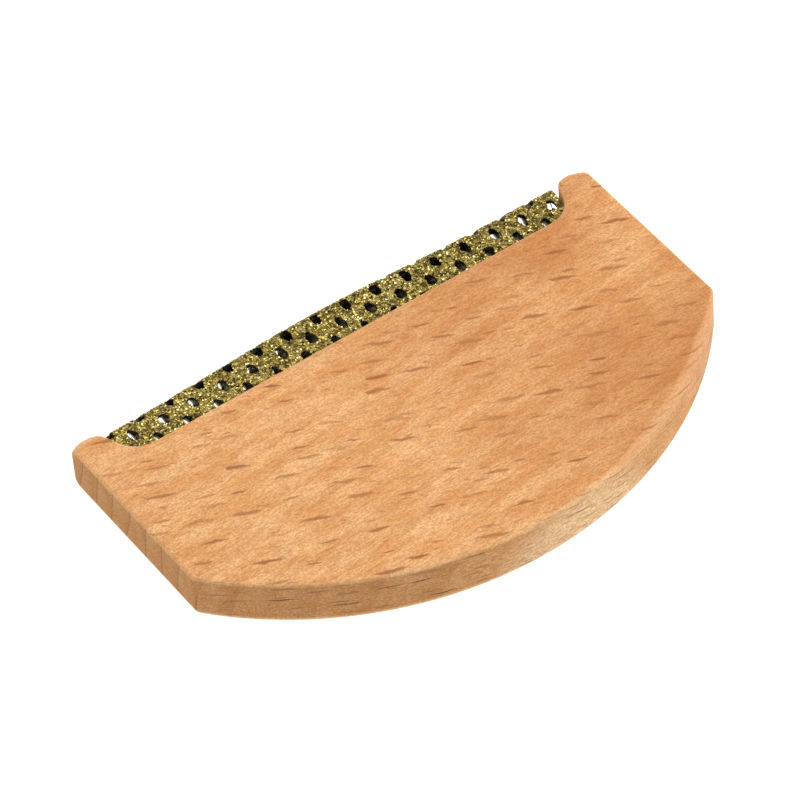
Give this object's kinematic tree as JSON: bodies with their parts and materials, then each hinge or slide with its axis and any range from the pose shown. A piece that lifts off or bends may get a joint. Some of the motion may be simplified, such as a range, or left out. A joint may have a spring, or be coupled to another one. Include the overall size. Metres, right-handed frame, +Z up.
{
  "type": "sweater comb",
  "caption": "Flat D-shaped beech sweater comb with a folded band of perforated, grit-coated metal between two rounded prongs, for combing pilling off knitwear.",
  "frame": {"origin": "on the underside of the handle, in the middle of the comb's overall length and width", "axes": "+X along the perforated band, +Y from the curved back of the handle towards the band, +Z up from the underside to the top face"},
  "size_m": [0.09, 0.0556, 0.008],
  "materials": {
    "handle_wood": "sanded and oiled beech",
    "grit_coated_metal": "coarse brass-coloured grit on perforated sheet",
    "strip_wood": "plain sawn beech"
  },
  "bodies": {
    "root": {"beech_handle": "handle_wood", "mesh_band": "grit_coated_metal", "wedge_strip": "strip_wood"}
  },
  "joints": []
}
